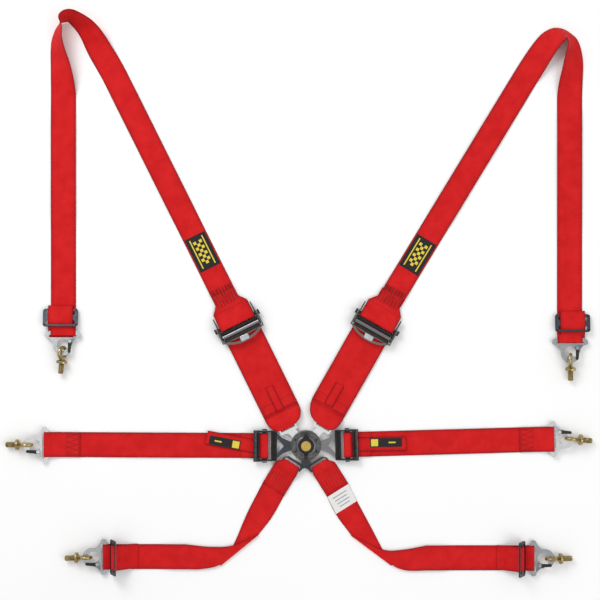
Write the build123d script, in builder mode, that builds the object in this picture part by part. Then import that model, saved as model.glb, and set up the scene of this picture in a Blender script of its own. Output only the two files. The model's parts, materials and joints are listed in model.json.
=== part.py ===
from build123d import *
from math import asin, atan2, cos, degrees, radians, sin
import os

# A six-point racing harness laid flat: a rotary cam buckle in the middle, two lap belts,
# two shoulder belts and two leg straps, each ending in a snap hook on a threaded eye bolt.
# Origin: centre of the buckle's back face. +Y points to the wearer's head, +Z away from
# the body. The webbing rests on the plane Z = 0.

# webbing
WEB = 1.5               # thickness of the webbing
BELT_W = 50             # lap, leg and upper shoulder webbing, 2 inch
SHOULDER_W = 75         # webbing of the lower shoulder belts, 3 inch
LAYER_GAP = 0.3         # space left between two layers that lie on each other
WRAP_GAP = 0.2          # space between a bar and the webbing round it

# buckle
HOUSING_R = 30.5
BASE_T = 4
TONGUE_Z = 6            # underside of the tongues
TONGUE_T = 3
TONGUE_TIP = 17         # distance of a tongue's tip from the buckle's axis
CAVITY_R = 14
SPINDLE_R = 4
RUN = 0.05              # radial clearance of a running fit
PIN_RING_R = 22         # circle of the five locking pins
PIN_R = 1.8
KNOB_R = 16
KNOB_Z = 20
KNOB_T = 8

# snap hook and eye bolt
PLATE = 3               # thickness of the hook's plate
BAR_BACK = -44          # webbing bar of the hook, measured back from the ring's centre
BAR_FRONT = -36
RING_R = 10.5           # centreline radius of the eye
RING_WIRE = 3.5         # radius of the eye's wire
SHANK_R = 5.56          # 7/16 inch thread
SHANK_L = 21
COLLAR_R = 11
COLLAR_NEAR = 12.8      # collar, measured from the ring's centre
COLLAR_FAR = 21
HOOK_REACH = 34.2       # ring centre beyond the end of the webbing
HOOK_HOLE_R = 11.5      # hole that the ring hangs in
RIVET = (-23, 14)       # pivot of the hook's gate, along and across
GATE_T = 1.5

# lap adjuster, distances along the belt from the buckle's axis
LAP_Y = -1.5            # both lap belts leave the buckle this far below its centre
FRAME_NEAR = 58
FRAME_FAR = 97
CHEEK_IN = 27.5         # cheek plates, across the belt
CHEEK_OUT = 30
LAP_PIN = (82.5, 7)     # along and up
GRIP_BAR = (101, 10.5)
GRIP_R = 3.9
TAB_START = 110
TAB_L = 90
TAB_W = 28

# shoulder adjuster, distances down the belt from the pivot pin
PIVOT_Z = 10
PIVOT_R = 3.5
PIVOT_HALF = 49
LOOP_BAR = (15, 4.1)    # bar that the lower belt runs round, along and up
LOOP_BAR_R = 2.4
KNURL = (17, 12.4)      # knurled bar that bites the belt from above
KNURL_R = 4
LEVER_Z = 12
LEVER_T = 2
TAIL_END = 197          # end of the adjusting tail
TONGUE_BAR = 231        # bar that the shoulder tongue hangs on

# three-bar slide
SLIDE_L = 36
SLIDE_W = 70
SLIDE_Z = 3.9

os.makedirs("parts", exist_ok=True)


def save(piece, name):
    """label a finished piece and write it"""
    piece.label = name
    export_step(piece, f"parts/{name}.step")


def belt_plane(x, y, heading, height=0, climb=0):
    """x runs along the belt, y across it to the left, z up; climb tips the far end up"""
    turn, rise = radians(heading), radians(climb)
    along = (cos(turn) * cos(rise), sin(turn) * cos(rise), sin(rise))
    up = (-cos(turn) * sin(rise), -sin(turn) * sin(rise), cos(rise))
    return Plane(origin=(x, y, height), x_dir=along, z_dir=up)


def side_view(plane):
    """the same place seen from the side: x along the belt, y up, z to the belt's right"""
    return Plane(origin=plane.origin, x_dir=plane.x_dir, z_dir=-plane.y_dir)


def point_on(plane, along, across=0, up=0):
    return plane.from_local_coords(Vector(along, across, up))


# ---------------------------------------------------------------- where everything lies

# x, y and heading of each belt's far straight run, the length of that run to the end of
# the webbing, the heading of the eye bolt, the roll of its ring, the side of the gate
ANCHORS = {
    "left_lap": (0, LAP_Y, 179.7, 523, 180, 0, 1),
    "right_lap": (0, LAP_Y, 1.6, 495, -6, 0, 1),
    "left_shoulder": (-485, 690, -90, 471, -96, 34, 1),
    "right_shoulder": (527, 690, -90, 485, -89, 15, 1),
    "left_leg": (-240, -223, 180, 165, 183, 0, 1),
    "right_leg": (240, -225.5, 0, 215, 0, 0, -1),
}
LAP_PLANES = {side: belt_plane(*ANCHORS[side + "_lap"][:3]) for side in ("left", "right")}
ADJUSTERS = {"left": belt_plane(-137.4, 246.5, -63.8), "right": belt_plane(141.7, 245.9, -119.6)}
UPPER_RUNS = {"left": belt_plane(-137.4, 246.5, -63.5), "right": belt_plane(141.7, 245.9, -121.3)}
TONGUE_SHIFT = {"left": -3, "right": 9}
SLIDES = {
    "left_shoulder": (-490, 254, -90, 11),
    "right_shoulder": (532, 243, -90, 11),
    "left_leg": (-389, -222, 0, 68),
    "right_leg": (436, -225, 180, 64),
}


def ring_centre_height(roll):
    """a ring that leans by roll rests on the floor"""
    return RING_R * cos(radians(roll)) + RING_WIRE


def hook_plane(name):
    """plane of a snap hook: origin at the ring's centre, x towards the nose"""
    x, y, heading, length, _, roll, _ = ANCHORS[name]
    height = ring_centre_height(roll)
    climb = degrees(asin((height - 4.5) / 46))
    run = belt_plane(x, y, heading)
    spot = point_on(run, length + HOOK_REACH, 0, height)
    return belt_plane(spot.X, spot.Y, heading, height, climb)


def bolt_plane(name):
    """plane of a lying eye bolt's ring: x along the shank, y along the ring's own axis"""
    spot = hook_plane(name).origin
    _, _, _, _, heading, roll, _ = ANCHORS[name]
    droop = degrees(asin((spot.Z - COLLAR_R) / COLLAR_FAR))
    level = belt_plane(spot.X, spot.Y, heading, spot.Z, -droop)
    ring_axis = level.y_dir * cos(radians(roll)) + level.z_dir * sin(radians(roll))
    return Plane(origin=spot, x_dir=level.x_dir, z_dir=level.x_dir.cross(ring_axis))


def tongue_heading(side):
    """direction from the buckle's axis to the bar of a shoulder tongue"""
    spot = point_on(ADJUSTERS[side], TONGUE_BAR, TONGUE_SHIFT[side])
    return degrees(atan2(spot.Y, spot.X))


TONGUE_HEADINGS = (180, 0, tongue_heading("left"), tongue_heading("right"), -90)


# ---------------------------------------------------------------- webbing

def offset_corners(corners, distance):
    """the corners of a broken line, moved to its right by distance"""
    moved = []
    for i, corner in enumerate(corners):
        normals = []
        for a, b in ((i - 1, i), (i, i + 1)):
            if a >= 0 and b < len(corners):
                run = Vector(*corners[b]) - Vector(*corners[a])
                normals.append(Vector(run.Y, -run.X).normalized())
        mitre = normals[0] + normals[-1]
        mitre = mitre * (distance / mitre.dot(normals[0]))
        moved.append((corner[0] + mitre.X, corner[1] + mitre.Y))
    return moved


def bend_radii(corners, left_turn, right_turn):
    radii = []
    for a, b, c in zip(corners, corners[1:], corners[2:]):
        turn = (b[0] - a[0]) * (c[1] - b[1]) - (b[1] - a[1]) * (c[0] - b[0])
        radii.append(left_turn if turn > 0 else right_turn)
    return radii


def ribbon(plane, corners, width, inner_bend=0.4):
    """webbing whose side view lies on the right of a broken line (along, up)"""
    outer = offset_corners(corners, WEB)
    with BuildPart() as strip:
        with BuildSketch(side_view(plane)):
            with BuildLine():
                near = FilletPolyline(*corners, radius=bend_radii(corners, inner_bend, inner_bend + WEB))
                far = FilletPolyline(*outer, radius=bend_radii(corners, inner_bend + WEB, inner_bend))
                Line(near @ 0, far @ 0)
                Line(near @ 1, far @ 1)
            make_face()
        extrude(amount=width / 2, both=True)
    return strip.part


def hook_wrap(name):
    """corners of the webbing's inner side round the hook's bar, in the belt's side view"""
    length, roll = ANCHORS[name][3], ANCHORS[name][5]
    height = ring_centre_height(roll)
    climb = asin((height - 4.5) / 46)
    half = PLATE / 2 + WRAP_GAP
    front = BAR_FRONT + WRAP_GAP
    corners = []
    for u, w in ((BAR_BACK - 2, -half), (front, -half), (front, half), (BAR_BACK - 2, half)):
        along = length + HOOK_REACH + u * cos(climb) - w * sin(climb)
        corners.append((along, height + u * sin(climb) + w * cos(climb)))
    return corners


def hook_end(name, doubled):
    """inner side of a run's far end: lower layer, hook loop, upper layer sewn back"""
    length = ANCHORS[name][3]
    wrap = hook_wrap(name)
    lift = wrap[0][0] - 14
    return [(lift, WEB)] + wrap + [(lift - 4, WEB + LAYER_GAP), (length - doubled, WEB + LAYER_GAP)]


# ---------------------------------------------------------------- rotary buckle

def buckle():
    with BuildPart() as base:
        with BuildSketch():
            Circle(HOUSING_R - 1.5)
        extrude(amount=BASE_T)
        chamfer(base.faces().sort_by(Axis.Z)[0].edges(), 0.6)
    save(base.part, "buckle_base")

    with BuildPart() as housing:
        with BuildSketch(Plane.XZ):
            with BuildLine():
                Polyline(
                    (CAVITY_R, BASE_T), (HOUSING_R, BASE_T), (HOUSING_R, 13), (HOUSING_R - 1.6, 14.6),
                    (27.5, 14.6), (26.8, 16.4), (20.5, 16.4), (19.2, 18.4), (17.4, 19.2), (12.5, 19.2),
                    (12.5, 17.2), (CAVITY_R, 17.2), close=True)
            make_face()
        revolve(axis=Axis.Z)
        for heading in TONGUE_HEADINGS:
            with BuildSketch(belt_plane(0, 0, heading, TONGUE_Z - 0.2)):
                with Locations((26, 0)):
                    Rectangle(22, 22.5)
            extrude(amount=TONGUE_T + 0.4, mode=Mode.SUBTRACT)
            with BuildSketch(belt_plane(0, 0, heading, BASE_T)):
                with Locations((PIN_RING_R, 0)):
                    Circle(PIN_R + 0.15)
            extrude(amount=11.6, mode=Mode.SUBTRACT)
    save(housing.part, "buckle_housing")

    with BuildPart() as spindle:
        with BuildSketch(Plane.XY.offset(BASE_T)):
            Circle(SPINDLE_R)
        extrude(amount=14)
    save(spindle.part, "buckle_spindle")

    with BuildPart() as spring:
        for turn in range(3):
            with BuildSketch(Plane.XZ):
                with Locations((7, BASE_T + 1.4 + 1.9 * turn)):
                    Circle(0.85)
            revolve(axis=Axis.Z)
    save(spring.part, "knob_return_spring")

    with BuildPart() as screws:
        for heading in (30, 90, 150, 210, 270, 330):
            with BuildSketch(belt_plane(0, 0, heading, 16.4)):
                with Locations((24, 0)):
                    Circle(2.1)
            extrude(amount=0.9)
            with BuildSketch(belt_plane(0, 0, heading, 16.8)):
                with Locations((24, 0)):
                    RegularPolygon(1.1, 6)
            extrude(amount=0.6, mode=Mode.SUBTRACT)
    save(screws.part, "housing_screws")

    with BuildPart() as pins:
        for heading in TONGUE_HEADINGS:
            with BuildSketch(belt_plane(0, 0, heading, TONGUE_Z + TONGUE_T + 0.25)):
                with Locations((PIN_RING_R, 0)):
                    Circle(PIN_R)
            extrude(amount=6)
    save(pins.part, "locking_pins")

    with BuildPart() as cam:
        with BuildSketch(Plane.XY.offset(12)):
            Circle(12.5)
            Circle(SPINDLE_R + RUN, mode=Mode.SUBTRACT)
            with PolarLocations(12.5, 5, start_angle=90):
                Circle(2.5, mode=Mode.SUBTRACT)
        extrude(amount=1.6)
    save(cam.part, "cam_plate")

    with BuildPart() as knob:
        with BuildSketch(Plane.XY.offset(13.6)):
            Circle(12.3)
        extrude(amount=KNOB_Z - 13.6)
        with BuildSketch(Plane.XY.offset(KNOB_Z)):
            Circle(KNOB_R)
        extrude(amount=KNOB_T)
        chamfer(knob.faces().sort_by(Axis.Z)[-1].edges(), 1.6)
        with BuildSketch(Plane.XY.offset(KNOB_Z)):
            with BuildLine():
                Polyline((-7, 12), (-5.2, 18), (-5.2, 24))
                ThreePointArc((-5.2, 24), (0, 27.6), (5.2, 24))
                Polyline((5.2, 24), (5.2, 18), (7, 12), (-7, 12))
            make_face()
            with Locations((0, 21.5)):
                Circle(2, mode=Mode.SUBTRACT)
            with BuildLine():
                Polyline((-6, -14), (-2.4, -19), (-6.2, -32.5))
                ThreePointArc((-6.2, -32.5), (0, -35), (6.2, -32.5))
                Polyline((6.2, -32.5), (2.4, -19), (6, -14), (-6, -14))
            make_face()
        extrude(amount=4.5)
        with BuildSketch(Plane.XY.offset(13.6)):
            Circle(SPINDLE_R + RUN)
        extrude(amount=4.6, mode=Mode.SUBTRACT)
    save(knob.part, "knob")

    with BuildPart() as cap:
        with BuildSketch(Plane.XY.offset(KNOB_Z + KNOB_T)):
            Circle(9.8)
        extrude(amount=2)
        chamfer(cap.faces().sort_by(Axis.Z)[-1].edges(), 0.7)
    save(cap.part, "knob_cap")


# ---------------------------------------------------------------- snap hook, gate, eye bolt

def snap_hook(name):
    plane = hook_plane(name)
    gate_side = ANCHORS[name][6]
    with BuildPart() as hook:
        with BuildSketch(plane.offset(-PLATE / 2)):
            with BuildLine():
                Polyline((6, 0), (6, 0.5))
                ThreePointArc((6, 0.5), (0.6, 13.4), (-13, 19))
                Polyline((-13, 19), (-20, 19.5))
                ThreePointArc((-20, 19.5), (-26.5, 25), (-30.5, 33))
                ThreePointArc((-30.5, 33), (-36, 36), (-41.5, 33))
                Polyline((-41.5, 33), (-44, 27), (-44, 0), (6, 0))
            make_face()
            mirror(about=Plane.XZ)
            with Locations((-16, 0)):
                Circle(HOOK_HOLE_R, mode=Mode.SUBTRACT)
            with Locations(((BAR_FRONT - 31) / 2, 0)):
                SlotOverall(56, 5, rotation=90, mode=Mode.SUBTRACT)
            with BuildLine():
                Polyline((-17, 8 * gate_side), (-8, 8 * gate_side), (3, 18 * gate_side),
                         (-13, 24 * gate_side), close=True)
            make_face(mode=Mode.SUBTRACT)
        extrude(amount=PLATE)
        with BuildSketch(plane.offset(PLATE / 2)):
            with Locations((RIVET[0], RIVET[1] * gate_side)):
                Circle(2.2)
        extrude(amount=GATE_T + 0.3)
        with BuildSketch(plane.offset(PLATE / 2 + GATE_T + 0.3)):
            with Locations((RIVET[0], RIVET[1] * gate_side)):
                Circle(3.6)
        extrude(amount=1)
    save(hook.part, name + "_snap_hook")


def gate(name):
    plane = hook_plane(name)
    side = ANCHORS[name][6]
    with BuildPart() as gate_plate:
        with BuildSketch(plane.offset(PLATE / 2 + 0.15)):
            with BuildLine():
                Polyline((RIVET[0] + 1, 10.6 * side), (-2, 10.2 * side))
                ThreePointArc((-2, 10.2 * side), (0.6, 12.9 * side), (-1.6, 15.8 * side))
                Polyline((-1.6, 15.8 * side), (RIVET[0] + 1, 18 * side))
                ThreePointArc((RIVET[0] + 1, 18 * side), (RIVET[0] - 4, RIVET[1] * side),
                              (RIVET[0] + 1, 10.6 * side))
            make_face()
            with Locations((RIVET[0], RIVET[1] * side)):
                Circle(2.2 + RUN, mode=Mode.SUBTRACT)
        extrude(amount=GATE_T)
    save(gate_plate.part, name + "_gate")


def eye_bolt(name):
    plane = bolt_plane(name)
    with BuildPart() as bolt:
        with BuildSketch(plane):
            with Locations((RING_R, 0)):
                Circle(RING_WIRE)
        revolve(axis=Axis(plane.origin, plane.y_dir))
        with BuildSketch(side_view(plane)):
            with BuildLine():
                Polyline((RING_R, 0), (RING_R, 3.2), (COLLAR_NEAR, 5.2), (15.5, 8), (16.2, COLLAR_R),
                         (COLLAR_FAR, COLLAR_R), (COLLAR_FAR, SHANK_R), (COLLAR_FAR + SHANK_L, SHANK_R),
                         (COLLAR_FAR + SHANK_L, 0), close=True)
            make_face()
        revolve(axis=Axis(plane.origin, plane.x_dir))
    save(bolt.part, name + "_eye_bolt")


# ---------------------------------------------------------------- lap belts

def lap_tongue(side):
    plane = LAP_PLANES[side]
    pin = plane.to_local_coords(Vector(PIN_RING_R if side == "right" else -PIN_RING_R, 0))
    with BuildPart() as tongue:
        with BuildSketch(plane.offset(TONGUE_Z)):
            with BuildLine():
                Polyline((TONGUE_TIP, 0), (TONGUE_TIP, 6), (19.5, 8.5), (30, 8.5), (46, 15),
                         (FRAME_NEAR, 24.5), (FRAME_NEAR, 16), (44, 0), (TONGUE_TIP, 0))
            make_face()
            mirror(about=Plane.XZ)
            with Locations((pin.X, pin.Y)):
                Circle(PIN_R + 0.4, mode=Mode.SUBTRACT)
        extrude(amount=TONGUE_T)
    save(tongue.part, side + "_lap_tongue")


def lap_adjuster_frame(side):
    plane = LAP_PLANES[side]
    with BuildPart() as frame:
        for edge in (-CHEEK_OUT, CHEEK_IN):
            with BuildSketch(side_view(plane).offset(edge)):
                with BuildLine():
                    Polyline((FRAME_NEAR, 5), (63, 3), (88, 3), (FRAME_FAR, 7.5), (FRAME_FAR, 10.8),
                             (88, 12.6), (68, 12.6), (FRAME_NEAR, 9.5), close=True)
                make_face()
                with Locations(LAP_PIN):
                    Circle(3, mode=Mode.SUBTRACT)
            extrude(amount=CHEEK_OUT - CHEEK_IN)
        with BuildSketch(side_view(plane)):
            with BuildLine():
                Polyline((FRAME_NEAR, 5.2), (70, 5.2), (70, 9.6), (65, 9.6), (65, 8), (63, 8),
                         (63, 9.6), (FRAME_NEAR, 9.6), close=True)
            make_face()
            with BuildLine():
                Polyline((92.8, 7.5), (96.6, 7.5), (96.6, 10.8), (92.8, 10.8), close=True)
            make_face()
        extrude(amount=CHEEK_IN, both=True)
    save(frame.part, side + "_lap_adjuster_frame")


def lap_adjuster_pin(side):
    view = side_view(LAP_PLANES[side])
    with BuildPart() as pin:
        with BuildSketch(view):
            with Locations(LAP_PIN):
                SlotOverall(11, 6)
        extrude(amount=CHEEK_IN, both=True)
        with BuildSketch(view):
            with Locations(LAP_PIN):
                Circle(3)
        extrude(amount=33.4, both=True)
        for edge in (-33.4, 31.8):
            with BuildSketch(view.offset(edge)):
                with Locations(LAP_PIN):
                    Circle(4.5)
            extrude(amount=1.6)
    save(pin.part, side + "_lap_adjuster_pin")


def lap_grip_bar(side):
    view = side_view(LAP_PLANES[side])
    reach = Vector(*GRIP_BAR) - Vector(*LAP_PIN)
    middle = (Vector(*GRIP_BAR) + Vector(*LAP_PIN)) * 0.5
    with BuildPart() as grip:
        with BuildSketch(view):
            with Locations(GRIP_BAR):
                Circle(GRIP_R)
        extrude(amount=31.6, both=True)
        for edge in (-31.6, 30.2):
            with BuildSketch(view.offset(edge)):
                with Locations(middle):
                    SlotCenterToCenter(reach.length, 8.4, rotation=degrees(atan2(reach.Y, reach.X)))
                with Locations(LAP_PIN):
                    Circle(3 + RUN, mode=Mode.SUBTRACT)
            extrude(amount=1.4)
    save(grip.part, side + "_lap_grip_bar")


def lap_webbing(side, doubled):
    name = side + "_lap"
    top = WEB + LAYER_GAP
    bar_top, bar_low = LAP_PIN[1] + 3.2, LAP_PIN[1] - 3.2
    near = LAP_PIN[0] - 5.7
    corners = [(130, top), (108, top), (92.5, 4.6), (87, bar_top), (near, bar_top),
               (near, bar_low), (90, bar_low), (104, WEB)] + hook_end(name, doubled)
    save(ribbon(LAP_PLANES[side], corners, BELT_W), name + "_webbing")


def lap_pull_tab(side, heading):
    start = point_on(LAP_PLANES[side], TAB_START, 0, 2 * WEB + LAYER_GAP + 0.1)
    plane = belt_plane(start.X, start.Y, heading, start.Z)
    with BuildPart() as tab:
        with BuildSketch(plane):
            with Locations((TAB_L / 2, 0)):
                Rectangle(TAB_L, TAB_W)
        extrude(amount=WEB)
    save(tab.part, side + "_lap_pull_tab")


# ---------------------------------------------------------------- shoulder belts

def shoulder_tongue(side):
    bar_plane = ADJUSTERS[side].offset(TONGUE_Z)
    blade = belt_plane(0, 0, tongue_heading(side), TONGUE_Z)
    across = TONGUE_SHIFT[side]
    with BuildPart() as tongue:
        with BuildSketch(bar_plane):
            with Locations((TONGUE_BAR + 4.5, across)):
                RectangleRounded(15, 37, 2)
        extrude(amount=TONGUE_T)
        with BuildSketch(blade):
            with BuildLine():
                Polyline((TONGUE_TIP, -6), (19, -8), (40, -8), (46, -12), (46, 12), (40, 8), (19, 8),
                         (TONGUE_TIP, 6), close=True)
            make_face()
            with Locations((PIN_RING_R, 0)):
                Circle(PIN_R + 0.4, mode=Mode.SUBTRACT)
        extrude(amount=TONGUE_T)
        with BuildSketch(bar_plane):
            with Locations((TONGUE_BAR + 4.8, across)):
                Rectangle(3.6, 31)
        extrude(amount=TONGUE_T, mode=Mode.SUBTRACT)
    save(tongue.part, side + "_shoulder_tongue")


def shoulder_lower_webbing(side):
    """3 inch belt: round the loop bar, down to the tongue's bar and back on itself"""
    top = WEB + LAYER_GAP
    across = TONGUE_SHIFT[side]
    bar_up = LOOP_BAR[1] + LOOP_BAR_R + WRAP_GAP
    bar_near = LOOP_BAR[0] - LOOP_BAR_R - WRAP_GAP
    low, high = TONGUE_Z - WRAP_GAP, TONGUE_Z + TONGUE_T + WRAP_GAP
    front = TONGUE_BAR + 3.2
    corners = [(TAIL_END, top), (38, top), (24, bar_up), (bar_near, bar_up), (bar_near, WEB),
               (200, WEB), (216, low), (front, low), (front, high),
               (222, high), (207, 4.5), (202, 3.5)]
    plane = ADJUSTERS[side]
    belt = ribbon(plane, corners, SHOULDER_W)
    with BuildPart() as webbing:
        add(belt)
        with BuildSketch(plane.offset(-1)):
            for sign, start in ((1, 209 if side == "left" else 212), (-1, 212 if side == "left" else 199)):
                with BuildLine():
                    Polyline((start, sign * 37.6), (228, across + sign * 20), (234, across + sign * 14.5),
                             (243, across + sign * 14.5), (243, sign * 40), (start, sign * 40), close=True)
                make_face()
        extrude(amount=20, mode=Mode.SUBTRACT)
    save(webbing.part, side + "_shoulder_lower_webbing")


def shoulder_loop_webbing(side):
    """short 3 inch piece round the pivot pin, its two ends sewn over the 2 inch belt"""
    reach = PIVOT_R + WRAP_GAP
    over = 2 * WEB + 2 * LAYER_GAP
    corners = [(-66, WEB), (-20, WEB), (-6, PIVOT_Z - reach), (reach, PIVOT_Z - reach),
               (reach, PIVOT_Z + reach), (-6, PIVOT_Z + reach), (-26, over), (-66, over)]
    plane = ADJUSTERS[side]
    belt = ribbon(plane, corners, SHOULDER_W)
    with BuildPart() as loop:
        add(belt)
        with BuildSketch(plane.offset(-1)):
            for sign in (1, -1):
                with BuildLine():
                    Polyline((-68, sign * 26), (-62, sign * 26), (-48, sign * 37.6), (-48, sign * 40),
                             (-68, sign * 40), close=True)
                make_face()
        extrude(amount=20, mode=Mode.SUBTRACT)
    save(loop.part, side + "_shoulder_loop_webbing")


def loop_station(x, y, heading, lean):
    """section plane of a 2 inch belt that leans over; its lower edge is on the floor"""
    turn, tip = radians(heading), radians(lean)
    across = (-sin(turn) * cos(tip), cos(turn) * cos(tip), sin(tip))
    height = BELT_W / 2 * abs(sin(tip)) + WEB / 2
    return Plane(origin=(x, y, height), x_dir=across, z_dir=(cos(turn), sin(turn), 0))


# x, y, heading and lean of the belt where it turns back on itself at the top
TURNS = {
    "left": (550, ((-410, 786, 125, -8), (-435, 828, 124, -36), (-460, 850, 133, -56),
                   (-474, 855, 160, -68), (-485, 848, 225, -80), (-490, 835, 262, -108),
                   (-495, 811, 267, -121), (-494, 789, 271, -131), (-489, 755, 275, -149),
                   (-485.5, 718, 272, -169), (-485, 690, 270, -180))),
    "right": (572, ((477, 794, 46, -21), (497, 815, 38, -38), (512, 820, 14, -57), (524, 809, -26, -54),
                    (530, 794, -50, -40), (532, 762, -72, -24), (528.5, 722, -83, -8),
                    (527, 690, -90, 0))),
}


def shoulder_upper_webbing(side):
    """2 inch belt: from the adjuster up, round the standing turn and down to the hook"""
    climb_length, turns = TURNS[side]
    upper = UPPER_RUNS[side]
    name = side + "_shoulder"
    top = 2 * WEB + LAYER_GAP
    rise = ribbon(upper, [(-climb_length, WEB), (-110, WEB), (-80, top), (-23, top)], BELT_W)
    run = ribbon(belt_plane(*ANCHORS[name][:3]), [(0, WEB)] + hook_end(name, 56), BELT_W)
    start = point_on(upper, -climb_length)
    heading = degrees(atan2(-upper.x_dir.Y, -upper.x_dir.X))
    with BuildPart() as webbing:
        for station in ((start.X, start.Y, heading, 0),) + turns:
            with BuildSketch(loop_station(*station)):
                Rectangle(BELT_W, WEB)
        loft(ruled=True)
        add(rise)
        add(run)
    save(webbing.part, name + "_upper_webbing")


def shoulder_adjuster_frame(side):
    """two cheek plates joined by a cross bar between the pivot pin and the loop bar"""
    view = side_view(ADJUSTERS[side])
    with BuildPart() as frame:
        for edge in (-42, 40):
            with BuildSketch(view.offset(edge)):
                with BuildLine():
                    Polyline((-25, 6.5), (-14, 5), (6, 1.2), (20, 0.8), (24, 5), (24, 14), (21, 17.4),
                             (12, 17.4), (4, 15), (-10, 14), (-25, 11), close=True)
                make_face()
                with Locations((0, PIVOT_Z)):
                    Circle(PIVOT_R, mode=Mode.SUBTRACT)
                with Locations(KNURL):
                    Circle(KNURL_R, mode=Mode.SUBTRACT)
                with Locations(LOOP_BAR):
                    Circle(LOOP_BAR_R, mode=Mode.SUBTRACT)
            extrude(amount=2)
        with BuildSketch(view):
            with BuildLine():
                Polyline((5.9, 2), (10.4, 2), (10.4, 8.6), (11.6, 11.6), (11.6, 14), (7, 14),
                         (5.9, 11), close=True)
            make_face()
        extrude(amount=40, both=True)
    save(frame.part, side + "_adjuster_frame")


def shoulder_adjuster_bars(side):
    view = side_view(ADJUSTERS[side])
    with BuildPart() as bars:
        with BuildSketch(view):
            with Locations((0, PIVOT_Z)):
                Circle(PIVOT_R)
        extrude(amount=PIVOT_HALF, both=True)
        for edge in (-PIVOT_HALF, PIVOT_HALF - 3):
            with BuildSketch(view.offset(edge)):
                with Locations((0, PIVOT_Z)):
                    Circle(5.2)
            extrude(amount=3)
        with BuildSketch(view):
            with Locations(KNURL):
                Circle(KNURL_R)
            with Locations(LOOP_BAR):
                Circle(LOOP_BAR_R)
        extrude(amount=42, both=True)
    save(bars.part, side + "_adjuster_bars")


def shoulder_lever(side):
    """crescent pull plate on two wire arms that turn on the pivot pin"""
    plane = ADJUSTERS[side]
    view = side_view(plane)
    top = LEVER_Z + LEVER_T
    with BuildPart() as lever:
        with BuildSketch(plane.offset(LEVER_Z)):
            with BuildLine():
                ThreePointArc((27, -45), (42, 0), (27, 45))
                Polyline((27, 45), (24, 38))
                ThreePointArc((24, 38), (27.5, 0), (24, -38))
                Polyline((24, -38), (27, -45))
            make_face()
            with BuildLine():
                ThreePointArc((28.5, -34), (34.5, -21), (36, -10))
                Polyline((36, -10), (30.5, -10))
                ThreePointArc((30.5, -10), (29.8, -22), (28.5, -34))
            make_face(mode=Mode.SUBTRACT)
            with BuildLine():
                ThreePointArc((28.5, 34), (34.5, 21), (36, 10))
                Polyline((36, 10), (30.5, 10))
                ThreePointArc((30.5, 10), (29.8, 22), (28.5, 34))
            make_face(mode=Mode.SUBTRACT)
        extrude(amount=LEVER_T)
        for edge in (-45.4, 42.6):
            with BuildSketch(view.offset(edge)):
                with Locations((0, PIVOT_Z)):
                    Circle(5)
                with BuildLine():
                    Polyline((0, PIVOT_Z - 2), (29, PIVOT_Z + 0.2), (29, top), (24, top),
                             (0, PIVOT_Z + 2), close=True)
                make_face()
                with Locations((0, PIVOT_Z)):
                    Circle(PIVOT_R + RUN, mode=Mode.SUBTRACT)
            extrude(amount=2.8)
    save(lever.part, side + "_adjuster_lever")


# ---------------------------------------------------------------- three-bar slide

def slide(name):
    x, y, heading, tilt = SLIDES[name]
    lift = SLIDE_Z if tilt < 30 else SLIDE_Z + 3
    plane = belt_plane(x, y, heading, lift, tilt)
    middle = SLIDE_L / 2 if tilt > 30 else 0
    if tilt < 30:
        plane = plane.offset(SLIDE_L / 2 * sin(radians(tilt)))
    with BuildPart() as bars:
        with BuildSketch(plane):
            with Locations((middle, 0)):
                RectangleRounded(SLIDE_L, SLIDE_W, 5)
            with Locations((middle - 9.4, 0), (middle + 9.4, 0)):
                SlotOverall(58, 8.6, rotation=90, mode=Mode.SUBTRACT)
        extrude(amount=2.5)
        fillet(bars.faces().sort_by(Axis(plane.origin, plane.z_dir))[-1].outer_wire().edges(), 0.8)
    save(bars.part, name + "_slide")


# ---------------------------------------------------------------- leg straps

LEG_BARS = {"left": belt_plane(-34, -37, -121.3), "right": belt_plane(31, -38, -58)}

# corners of each strap's upper stretch and of its outward stretch, and the two ends of the
# soft fold between them
LEG_SHAPES = {
    "left": (
        ((-68, -144), (-95, -179), (-172, -239), (-145, -199), (-118, -137)),
        ((-95, -179), (-172, -239), (-185, -244), (-212, -248), (-241, -248), (-241, -198),
         (-191, -203), (-146, -200)),
        ((-95, -179), (-172, -239))),
    "right": (
        ((60, -139), (90, -180), (172, -239), (154, -210), (131, -166), (101, -110)),
        ((90, -180), (172, -239), (184, -246), (206, -251), (241, -250.5), (241, -200.5),
         (192, -209), (152, -208)),
        ((90, -180), (172, -239))),
}


def leg_connector():
    with BuildPart() as connector:
        with BuildSketch(Plane.XY.offset(TONGUE_Z)):
            with BuildLine():
                Polyline((-7, -TONGUE_TIP), (-9, -19.5), (-9, -33), (-12, -48), (-2, -45), (12, -51),
                         (9, -33), (9, -19.5), (7, -TONGUE_TIP), close=True)
            make_face()
            with Locations((0, -PIN_RING_R)):
                Circle(PIN_R + 0.4, mode=Mode.SUBTRACT)
        extrude(amount=TONGUE_T)
        for side, sign in (("left", 1), ("right", -1)):
            plane = LEG_BARS[side].offset(TONGUE_Z)
            with BuildSketch(plane):
                with BuildLine():
                    Polyline((-13, -9 * sign), (-6, -16.5 * sign), (3, -16.5 * sign), (3, 26.5 * sign),
                             (-4, 28 * sign), (-13, 25 * sign), close=True)
                make_face()
            extrude(amount=TONGUE_T)
        for side, sign in (("left", 1), ("right", -1)):
            with BuildSketch(LEG_BARS[side].offset(TONGUE_Z)):
                with BuildLine():
                    Polyline((-8.6, -10 * sign), (-5.4, -13.5 * sign), (-3, -13.5 * sign), (-3, 23.5 * sign),
                             (-8.6, 21 * sign), close=True)
                make_face()
            extrude(amount=TONGUE_T, mode=Mode.SUBTRACT)
    save(connector.part, "leg_connector")


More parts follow.
